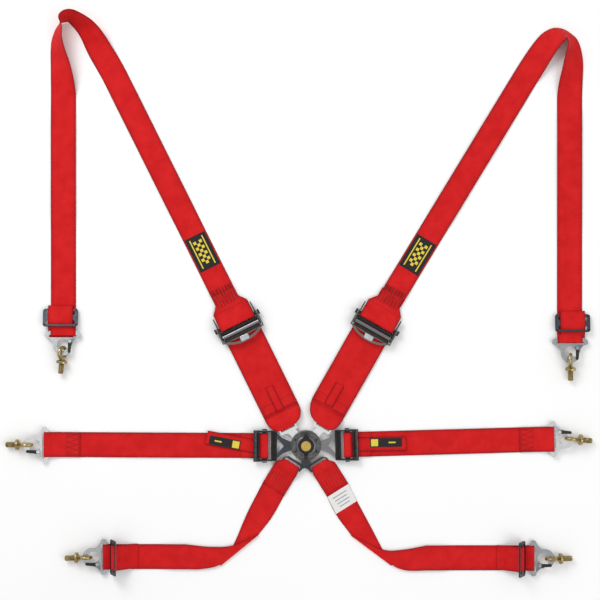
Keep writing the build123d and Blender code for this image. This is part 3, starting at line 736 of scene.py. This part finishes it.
STEEL = ((0.78, 0.79, 0.80), (0.52, 0.53, 0.55), 0.26, (0.95, 0.95, 0.95))


def paint_frame():
    """a finish for every CAD node that stays in view"""
    housing = material_metal("tumbled_alloy", (0.20, 0.20, 0.20), (0.085, 0.085, 0.088), 0.45,
                             (0.42, 0.42, 0.42), 1.0, 260.0, 0.1)
    knob = material_metal("satin_black", (0.009, 0.009, 0.010), (0.015, 0.015, 0.016), 0.5,
                          (0.05, 0.05, 0.05), 0.0, 120.0, 0.03, 0.2)
    cap = material_metal("gold_anodised", (0.72, 0.52, 0.10), (0.50, 0.34, 0.05), 0.32,
                         (0.95, 0.8, 0.4), 1.0, 260.0, 0.06)
    black = material_metal("black_oxide", (0.010, 0.010, 0.011), (0.020, 0.019, 0.019), 0.48,
                           (0.032, 0.032, 0.032), 0.0, 140.0, 0.03, 0.2)
    bright = material_metal("bright_plate", (0.92, 0.92, 0.93), (0.8, 0.81, 0.82), 0.3, (0.97, 0.97, 0.97))
    grey = material_metal("grey_steel", (0.085, 0.088, 0.092), (0.05, 0.052, 0.055), 0.38,
                          (0.34, 0.34, 0.35), 1.0, 150.0, 0.03)
    gunmetal = material_metal("gunmetal", (0.042, 0.051, 0.063), (0.018, 0.023, 0.030), 0.4,
                              (0.10, 0.11, 0.125), 1.0, 150.0, 0.03)
    hook = material_metal("zinc_plate", (0.62, 0.64, 0.66), (0.42, 0.44, 0.46), 0.3,
                          (0.9, 0.9, 0.9), 1.0, 110.0, 0.06)
    finishes = {"housing": (housing, 0.35), "knob_black": (knob, 0.5), "gold_cap": (cap, 0.3),
                "black_steel": (black, 0.3), "bright_steel": (bright, 0.3), "grey_steel": (grey, 0.3),
                "dark_steel": (gunmetal, 0.5), "hook_steel": (hook, 0.6), "zinc_yellow": (hook, 0.3)}
    lever = material_metal("worn_lever", (0.035, 0.033, 0.031), (0.075, 0.066, 0.058), 0.45,
                           (0.17, 0.155, 0.14), 0.0, 140.0, 0.03, 0.3)
    dull_hook = material_metal("dull_zinc", (0.30, 0.32, 0.34), (0.17, 0.18, 0.2), 0.34,
                               (0.5, 0.51, 0.52), 1.0, 110.0, 0.05)
    kinds = {"adjuster_bars": black, "adjuster_lever": lever, "_gate": black,
             "shoulder_snap_hook": dull_hook, "leg_snap_hook": dull_hook}
    for part in frame["record"]["subparts"]:
        if part["material_slot"] in finishes:
            node = frame["nodes"][part["node"]]
            material, bevel = finishes[part["material_slot"]]
            for ending, finish in kinds.items():
                if part["node"].endswith(ending):
                    material = finish
            node.data.materials.clear()
            node.data.materials.append(material)
            round_edges(node, bevel)


# ---------------------------------------------------------------- eye bolts

PITCH = 1.27               # 7/16-20 UNF
SHANK_R = 5.56
SHANK_L = 21
COLLAR_FAR = 21
RING_R = 10.5
RING_WIRE = 3.5
ZINC_HOLLOW_SHADE = 0.85          # how far painted shade darkens the hollows of the thread


def lathe(place, profile, around=48):
    """vertices and faces of a solid turned round the place's x axis; profile is (along, radius)"""
    vertices = []
    for along, radius in profile:
        for j in range(around):
            angle = 2 * math.pi * j / around
            vertices.append(place.at(along, radius * math.cos(angle), radius * math.sin(angle)))
    return vertices, capped(vertices, around)


def join(parts):
    """one list of vertices and faces from several"""
    vertices, faces = [], []
    for some_vertices, some_faces in parts:
        base = len(vertices)
        vertices += some_vertices
        faces += [tuple(index + base for index in face) for face in some_faces]
    return vertices, faces


def thread(place, start, end):
    """threaded shank along the place's x axis, with a chamfered tip"""
    around, rows_per_turn = 40, 6
    rows = round((end - start) / PITCH * rows_per_turn)
    depth = 0.6 * PITCH
    vertices = []
    for i in range(rows + 1):
        along = start + (end - start) * i / rows
        limit = SHANK_R - max(0.0, along - (end - 1.6)) * 0.9
        for j in range(around):
            turn = (along / PITCH - j / around) % 1.0
            radius = min(limit, SHANK_R - depth * abs(2 * turn - 1) ** 1.3)
            angle = 2 * math.pi * j / around
            vertices.append(place.at(along, radius * math.cos(angle), radius * math.sin(angle)))
    return vertices, capped(vertices, around)


def ring(place, radius, wire, around=56, section=16):
    vertices = []
    for i in range(around):
        turn = 2 * math.pi * i / around
        for j in range(section):
            angle = 2 * math.pi * j / section
            out = radius + wire * math.cos(angle)
            vertices.append(place.at(out * math.cos(turn), wire * math.sin(angle), out * math.sin(turn)))
    return vertices, grid_faces(around, section, closed_rows=True)


@made_once
def material_zinc():
    """yellow zinc plate, cloudy, with painted shade darkening the hollows of the thread"""
    n = Nodes("yellow_zinc")
    cloud = n.noise(140, 4, 0.6)
    tone = n.mix(n.span(cloud, 0.35, 0.65), (0.54, 0.42, 0.20), (0.22, 0.16, 0.07))
    geometry = n.tree.nodes.new("ShaderNodeNewGeometry")
    # painted shade: the hollows of the thread are darkened towards near black
    hollow = n.span(geometry.outputs["Pointiness"], 0.5, 0.44)
    n.set("Base Color", n.mix(n.math("MULTIPLY", hollow, ZINC_HOLLOW_SHADE), tone, (0.05, 0.035, 0.015)))
    n.set("Metallic", 1.0)
    n.set("Roughness", n.span(cloud, 0.3, 0.7, 0.24, 0.4))
    n.bump(n.noise(1100, 3), 0.04)
    return n.material


def eye_bolt(name):
    place = bolt_place(name)
    neck = [(RING_R - 0.5, 3.0), (RING_R + 1.2, 3.6), (12.8, 5.2), (14.4, 6.4), (15.5, 8), (16.0, 10.4),
            (16.4, 10.9), (17.0, 11), (20.4, 11), (20.9, 10.7), (21, 10.2), (21, 4)]
    shank = thread(place, COLLAR_FAR - 0.2, COLLAR_FAR + SHANK_L)
    bolt = add_mesh(name + "_threaded_eye_bolt",
                    *join([ring(place, RING_R, RING_WIRE), lathe(place, neck), shank]))
    finish_piece(bolt, name + "_eye_bolt", material_zinc())
    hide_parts(name + "_eye_bolt")


# ---------------------------------------------------------------- adjusters and slides

KNURL = (17, 12.4)         # knurled bar of a shoulder adjuster, along and up
KNURL_R = 4


LEVER_TOP = 14             # upper face of the crescent
LEVER_PLATE = (29.6, 39.6, 8.6)      # its bright centre plate, along and half across
LEVER_BAR = (22.4, 28.2, 39.5)       # dark bar along its inner side, the same way


def lever_plate(side):
    """bright plate between the two windows of the crescent"""
    near, far, half = LEVER_PLATE
    body = side + "_shoulder_lever"
    patch(side + "_lever_plate", adjuster_place(side), box_outline(near, far, -half, half, 1.6),
          LEVER_TOP, 0.5, material_metal("polished_steel", *STEEL), body, 0.2)
    near, far, half = LEVER_BAR
    dark = material_metal("black_enamel", (0.010, 0.010, 0.011), (0.02, 0.02, 0.02), 0.42, (0.03, 0.03, 0.03),
                          0.0, 140.0, 0.03, 0.25)
    patch(side + "_lever_bar", adjuster_place(side), box_outline(near, far, -half, half, 1.2),
          LEVER_TOP - 1.9, 2.1, dark, body, 0.5)


@made_once
def material_knurl():
    """bright knurled steel, darker between the points"""
    n = Nodes("knurled_steel")
    geometry = n.tree.nodes.new("ShaderNodeNewGeometry")
    hollow = n.span(geometry.outputs["Pointiness"], 0.52, 0.46)
    n.set("Base Color", n.mix(hollow, (0.26, 0.27, 0.28), (0.02, 0.02, 0.022)))
    n.set("Metallic", 1.0)
    n.set("Roughness", n.span(n.noise(300, 3), 0.3, 0.7, 0.22, 0.4))
    return n.material


def knurling(side):
    """sleeve of raised diamonds round the adjuster's knurled bar"""
    place = adjuster_place(side)
    around, half_length, row = 64, 39.6, 0.62
    rows = round(2 * half_length / row)
    starts, pitch = 16, 2 * math.pi * KNURL_R / 16
    vertices = []
    for i in range(rows + 1):
        across = -half_length + 2 * half_length * i / rows
        for j in range(around):
            angle = 2 * math.pi * j / around
            a = math.sin(math.pi * (across / pitch) + starts * angle / 2)
            b = math.sin(math.pi * (across / pitch) - starts * angle / 2)
            radius = KNURL_R + 0.02 + 0.42 * math.sqrt(abs(a * b))
            vertices.append(place.at(KNURL[0] + radius * math.cos(angle), across,
                                     KNURL[1] + radius * math.sin(angle)))
    sleeve = add_mesh(side + "_knurled_bar", vertices, capped(vertices, around))
    finish_piece(sleeve, side + "_shoulder", material_knurl())


SLIDE_TILT = {"left_shoulder": 11, "right_shoulder": 11, "left_leg": 68, "right_leg": 64}     # degrees
SLIDE_T = 2.5
STEEP = 30                 # a slide tilted more than this stands up on its belt


def slide_wrap(name):
    """the belt where it climbs over the middle bar of its three-bar slide; it moves with the slide"""
    low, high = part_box(name + "_slide")
    toward_hook = -joint_axis(name + "_slide_travel")
    tilt = math.radians(SLIDE_TILT[name])
    middle = (low + high) / 2
    steep = SLIDE_TILT[name] > STEEP
    place = Place(Vector((middle.x, middle.y, 0)), -toward_hook if steep else toward_hook)
    height = middle.z / MM

    def on_plate(u, w):
        """the point u along the tilted plate and w above its lower face"""
        w -= SLIDE_T / 2
        return u * math.cos(tilt) - w * math.sin(tilt), height + u * math.sin(tilt) + w * math.cos(tilt)

    over = SLIDE_T + WRAP + WEB / 2
    rest = 1.5 * WEB + 0.15
    if steep:
        middle_line = [(-19, rest), (-12, rest, 6), on_plate(-12, -1.6) + (4,), on_plate(-6.4, over) + (3,),
                       on_plate(6.2, over) + (3,), on_plate(10.5, -0.5) + (4,), on_plate(6, -6) + (8,),
                       (36, rest, 12), (48, rest)]
    else:
        middle_line = [(-24, rest), on_plate(-19.6, over) + (3,), on_plate(5.4, over) + (4,),
                       on_plate(15, -1.6) + (5,), (32, rest, 8), (40, rest)]
    half = BELT_W / 2
    stations = flat_stations(place, beside(middle_line, -WEB / 2), half, half)
    webbing(name + "_slide_wrap", stations, BELT_W, name + "_slide", [])


# ---------------------------------------------------------------- pull tabs, labels, stitches

TAB_START = 110
TAB_L = 90
TAB_TURN = {"left": -10.2, "right": -0.6}      # degrees from its lap belt


def tab_place(side):
    return lap_place(side).moved(TAB_START).turned(TAB_TURN[side])


def pull_tab(side):
    """red tab that pulls the adjuster's grip bar up; its near end is under that bar"""
    place = tab_place(side)
    lap = lap_place(side)
    tab = [(-10, 5.65), (-2, 4.7, 6), (9, 4.15, 6), (72, 4.15, 9), (TAB_L, 4.9)]
    stations = flat_stations(place, beside(tab, -WEB / 2), TAB_W / 2, TAB_W / 2)
    piece = webbing(side + "_pull_tab", stations, TAB_W, None, [side + "_lap_pull_tab"])
    lap.at(128, 0, 4)
    lap.at(101, 0, 4)
    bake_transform(piece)


def patch(name, place, outline, bottom, thickness, material, body, bevel=0.0):
    """flat sewn-on or raised shape: an outline (along, across) with a thickness"""
    count = len(outline)
    vertices = [place.at(x, y, bottom) for x, y in outline]
    vertices += [place.at(x, y, bottom + thickness) for x, y in outline]
    faces = [tuple(range(count))[::-1], tuple(range(count, 2 * count))]
    faces += [(i, (i + 1) % count, count + (i + 1) % count, count + i) for i in range(count)]
    piece = add_mesh(name, vertices, faces, smooth=False)
    return finish_piece(piece, body, material, bevel)


def box_outline(x0, x1, y0, y1, corner=0.0):
    """rectangle with rounded corners"""
    if not corner:
        return [(x0, y0), (x1, y0), (x1, y1), (x0, y1)]
    outline = []
    for cx, cy, start in ((x1 - corner, y1 - corner, 0), (x0 + corner, y1 - corner, 90),
                          (x0 + corner, y0 + corner, 180), (x1 - corner, y0 + corner, 270)):
        for step in range(4):
            angle = math.radians(start + 30 * step)
            outline.append((cx + corner * math.cos(angle), cy + corner * math.sin(angle)))
    return outline


def merged(name, pieces):
    """several patches made into one piece"""
    first = pieces[0]
    mesh = bmesh.new()
    for piece in pieces:
        mesh.from_mesh(piece.data)
    mesh.to_mesh(first.data)
    mesh.free()
    for piece in pieces[1:]:
        bpy.data.objects.remove(piece)
    first.name = name
    return first


BLACK_CLOTH = ("label_black", (0.016, 0.016, 0.017), (0.008, 0.008, 0.009))
YELLOW_CLOTH = ("label_yellow", (0.83, 0.66, 0.07), (0.62, 0.46, 0.04))
WHITE_CLOTH = ("label_white", (0.82, 0.82, 0.80), (0.66, 0.66, 0.65))
GREY_CLOTH = ("label_grey", (0.32, 0.32, 0.33), (0.22, 0.22, 0.23))
LABEL_T = 0.5              # thickness of a black label


def belt_label(side):
    """black label on the shoulder belt: a plain yellow border and a row of racing chequers"""
    place = adjuster_place(side).turned(UPPER_TURN[side])
    body = side + "_shoulder"
    middle = -156 if side == "left" else -157
    half_l, half_w = 36, 22
    patch(side + "_belt_label", place, box_outline(middle - half_l, middle + half_l, -half_w, half_w, 1),
          WEB, LABEL_T, material_label(*BLACK_CLOTH), body, bevel=0.15)
    yellow = material_label(*YELLOW_CLOTH)
    top = WEB + LABEL_T
    pieces = []
    for sign in (-1, 1):
        outer, inner = sign * 14.6, sign * 12.2
        pieces.append(patch("bar", place, box_outline(middle - 31, middle + 31, min(outer, inner),
                                                      max(outer, inner), 0.8), top, 0.35, yellow, body))
    size = 6.2
    for i in range(8):
        for j in range(3):
            if (i + j) % 2 == 0:
                x, y = middle + (i - 4) * size, (j - 1.5) * size
                square = box_outline(x + 0.1, x + size - 0.1, y + 0.1, y + size - 0.1)
                pieces.append(patch("square", place, square, top, 0.35, yellow, body))
    merged(side + "_belt_label_pattern", pieces)
    rows = [[(middle - 34.5, -20.5), (middle + 34.5, -20.5), (middle + 34.5, 20.5), (middle - 34.5, 20.5),
             (middle - 34.5, -20.5)]]
    stitching(side + "_belt_label_stitches", place, rows, top, body, THREAD_BLACK)


TAB_LABEL_SHIFT = {"left": 3.4, "right": 3}
TAB_LABEL_ENDS = {"left": (21, 86), "right": (18, 82)}


def tab_label(side):
    """black label on the pull tab, with a yellow square at its buckle end"""
    place = tab_place(side)
    body = LAP_BODY[side]
    height = 4.15 + WEB / 2
    shift = TAB_LABEL_SHIFT[side]
    near, far = TAB_LABEL_ENDS[side]
    patch(side + "_tab_label", place, box_outline(near, far, shift - 9, shift + 9, 0.8), height, LABEL_T,
          material_label(*BLACK_CLOTH), body, bevel=0.12)
    yellow = material_label(*YELLOW_CLOTH)
    top = height + LABEL_T
    shapes = (("square", box_outline(near + 2, near + 16, shift - 7, shift + 7, 0.6)),
              ("mark", box_outline(far - 27, far - 13, shift - 1.4, shift + 1.4, 0.5)))
    pieces = [patch(shape, place, outline, top, 0.3, yellow, body) for shape, outline in shapes]
    merged(side + "_tab_label_pattern", pieces)


def leg_label():
    """white care label sewn across the right leg strap, with plain grey bars"""
    place = leg_bar_place("right")
    outline = [(62, -24.9), (100, -28.4), (100, 20.8), (62, 24.4)]
    patch("right_leg_label", place, outline, WEB, 0.4, material_label(*WHITE_CLOTH), "legs", bevel=0.1)
    grey = material_label(*GREY_CLOTH)
    pieces = []
    for i in range(4):
        x0 = 70 + 7 * i
        shift = -3.6 * (x0 - 62) / 38
        bar = box_outline(x0, x0 + 1.6, shift - 17 + 2 * i, shift + 15 - 3 * (i % 2))
        pieces.append(patch("bar", place, bar, WEB + 0.4, 0.12, grey, "legs"))
    merged("right_leg_label_bars", pieces)


THREAD_RED = ("red_thread", (0.46, 0.02, 0.022))
# dark red thread, darkened further as painted shade of the puckered cloth along the seams
THREAD_DARK_AND_SHADE = ("dark_red_thread_and_shade", (0.13, 0.004, 0.005))
THREAD_BLACK = ("black_thread", (0.02, 0.02, 0.02))


def stitch(place, a, b, height, radius=0.45):
    """one stitch: a short thread lying from a to b, dipping into the cloth at its ends"""
    run = Vector(b) - Vector(a)
    side = Vector((-run.y, run.x)).normalized()
    vertices = []
    for share, size, up in ((0.0, 0.3, -0.25), (0.14, 0.85, 0.05), (0.5, 1.0, 0.16), (0.86, 0.85, 0.05),
                            (1.0, 0.3, -0.25)):
        middle = Vector(a) + run * share
        for j in range(6):
            angle = math.pi * j / 3
            spot = middle + side * radius * size * math.cos(angle)
            vertices.append(place.at(spot.x, spot.y, height + up + radius * size * math.sin(angle)))
    return vertices, capped(vertices, 6)


def stitching(name, place, rows, height, body, thread=THREAD_RED, length=3.4, gap=0.7):
    """stitches one after another along rows of (along, across) points"""
    parts = []
    for row in rows:
        for a, b in zip(row, row[1:]):
            a, b = Vector(a), Vector(b)
            count = max(1, round((b - a).length / (length + gap)))
            step = (b - a) / count
            share = length / (length + gap)
            for i in range(count):
                parts.append(stitch(place, a + step * i, a + step * (i + share), height))
    finish_piece(add_mesh(name, *join(parts)), body, material_thread(*thread))


def box_and_zigzag(x0, x1, half_w, teeth):
    """rows of a sewn box with a zigzag inside it"""
    rows = [[(x0, -half_w), (x1, -half_w), (x1, half_w), (x0, half_w), (x0, -half_w)]]
    step = 2 * half_w / (2 * teeth)
    rows.append([(x1 - 1.5 if i % 2 else x0 + 1.5, -half_w + step * i) for i in range(2 * teeth + 1)])
    return rows


def sewn_ends():
    """the stitched zones where a belt is doubled back on itself"""
    top = TOP + WEB
    for side in SIDES:
        length, doubled = LAP_RUNS[side]
        body = LAP_BODY[side]
        start = length - doubled
        rows = box_and_zigzag(start + 4, start + 27, 21, 4) + [[(start + 1.5, -24), (start + 1.5, 24)]]
        stitching(side + "_lap_end_stitches", lap_place(side), rows, top, body, THREAD_DARK_AND_SHADE)
        length, doubled = SHOULDER_RUNS[side]
        start = length - doubled
        stitching(side + "_shoulder_end_stitches", far_run(side + "_shoulder", length),
                  box_and_zigzag(start + 3, start + 20, 21, 4), top, side + "_shoulder", THREAD_DARK_AND_SHADE)
        length = LEG_RUNS[side]
        start = length - 50
        stitching(side + "_leg_end_stitches", far_run(side + "_leg", length),
                  box_and_zigzag(start + 3, start + 18, 21, 4), top, "legs", THREAD_DARK_AND_SHADE)
        rows = [[(57, -22), (57, 22)]]
        rows += [[(x, across + (1.3 if x % 8 else -1.3)) for x in range(24, 57, 4)]
                 for across in range(-18, 19, 6)]
        stitching(side + "_leg_top_stitches", leg_bar_place(side), rows, top, "legs", THREAD_DARK_AND_SHADE)
        place = adjuster_place(side)
        loop_top = 2 * WEB + 0.6 + WEB
        rows = [[(-77, y), (-39, y)] for y in range(-21, 22, 6)]
        rows += [[(-77 if i % 2 else -39, -21 + 3.5 * i) for i in range(13)], [(-31, -34), (-31, 34)]]
        stitching(side + "_loop_stitches", place, rows, loop_top, side + "_shoulder", THREAD_DARK_AND_SHADE)
        rows = box_and_zigzag(TAIL_END - 20, TAIL_END - 3, 33, 6)[:1]
        stitching(side + "_tail_stitches", place, rows, top, side + "_shoulder", THREAD_DARK_AND_SHADE)


TAIL_PATCH = {"left": (145, 196, -9, 8), "right": (144, 192, -12, 7)}


def tail_patch(side):
    """small reinforcing patch of webbing on the adjusting tail"""
    x0, x1, y0, y1 = TAIL_PATCH[side]
    place = adjuster_place(side).moved(0, (y0 + y1) / 2)
    half = (y1 - y0) / 2
    stations = flat_stations(place, [(x0, TOP + WEB + 0.1), (x1, TOP + WEB + 0.1)][::-1], half, half)
    webbing(side + "_tail_patch", stations, y1 - y0, side + "_shoulder", [])


# ---------------------------------------------------------------- studio

VIEW_CENTRE = (-12, 290)   # point of the floor under the camera, mm
VIEW_WIDTH = 1200          # width of floor that it takes in, mm
LENS, SENSOR = 100, 36     # of the camera, mm
FLOOR_HALF = 12.0          # metres
FLOOR_Z = -0.0006          # just under the harness, metres
FLOOR_SQUARES = 8          # along one side
LAMPS = (("key", (-1.5, 2.3, 2.4), 52, 1.6), ("fill", (2.3, -0.9, 2.8), 32, 2.4))    # place, watts, size


def studio():
    """pale floor, even white surroundings, two soft lamps and a camera straight above"""
    ticks = [-FLOOR_HALF + 2 * FLOOR_HALF * i / FLOOR_SQUARES for i in range(FLOOR_SQUARES + 1)]
    floor = add_mesh("floor", [(x, y, FLOOR_Z) for y in ticks for x in ticks],
                     grid_faces(FLOOR_SQUARES + 1, FLOOR_SQUARES + 1, closed_columns=False))
    n = Nodes("pale_floor")
    n.set("Base Color", n.mix(n.noise(3, 2), (0.90, 0.90, 0.90), (0.92, 0.92, 0.92)))
    n.set("Roughness", 0.9)
    n.set("Specular IOR Level", 0.05)
    floor.data.materials.append(n.material)

    world = bpy.data.worlds.new("studio")
    world.use_nodes = True
    world.node_tree.nodes["Background"].inputs["Color"].default_value = (1, 1, 1, 1)
    world.node_tree.nodes["Background"].inputs["Strength"].default_value = 0.7
    bpy.context.scene.world = world

    for name, spot, power, size in LAMPS:
        light = bpy.data.lights.new(name, "AREA")
        light.energy = power
        light.size = size
        lamp = bpy.data.objects.new(name, light)
        lamp.location = spot
        lamp.rotation_euler = (Vector((0, 0.3, 0)) - lamp.location).to_track_quat("-Z", "Y").to_euler()
        bpy.context.scene.collection.objects.link(lamp)

    camera_data = bpy.data.cameras.new("camera")
    camera_data.lens = LENS
    camera_data.clip_end = 20
    camera = bpy.data.objects.new("camera", camera_data)
    camera.location = (VIEW_CENTRE[0] * MM, VIEW_CENTRE[1] * MM, VIEW_WIDTH * MM * LENS / SENSOR)
    bpy.context.scene.collection.objects.link(camera)
    bpy.context.scene.camera = camera
    bpy.context.scene.view_settings.view_transform = "Standard"



# ---------------------------------------------------------------- the harness

studio()
paint_frame()
for side in SIDES:
    lap_webbing(side)
    shoulder_upper(side)
    shoulder_lower(side)
    shoulder_loop(side)
    leg_belt(side)
    pull_tab(side)
    knurling(side)
    lever_plate(side)
    belt_label(side)
    tab_label(side)
    tail_patch(side)
leg_label()
sewn_ends()
for name in SLIDE_TILT:
    slide_wrap(name)
for name in ANCHORS:
    eye_bolt(name)
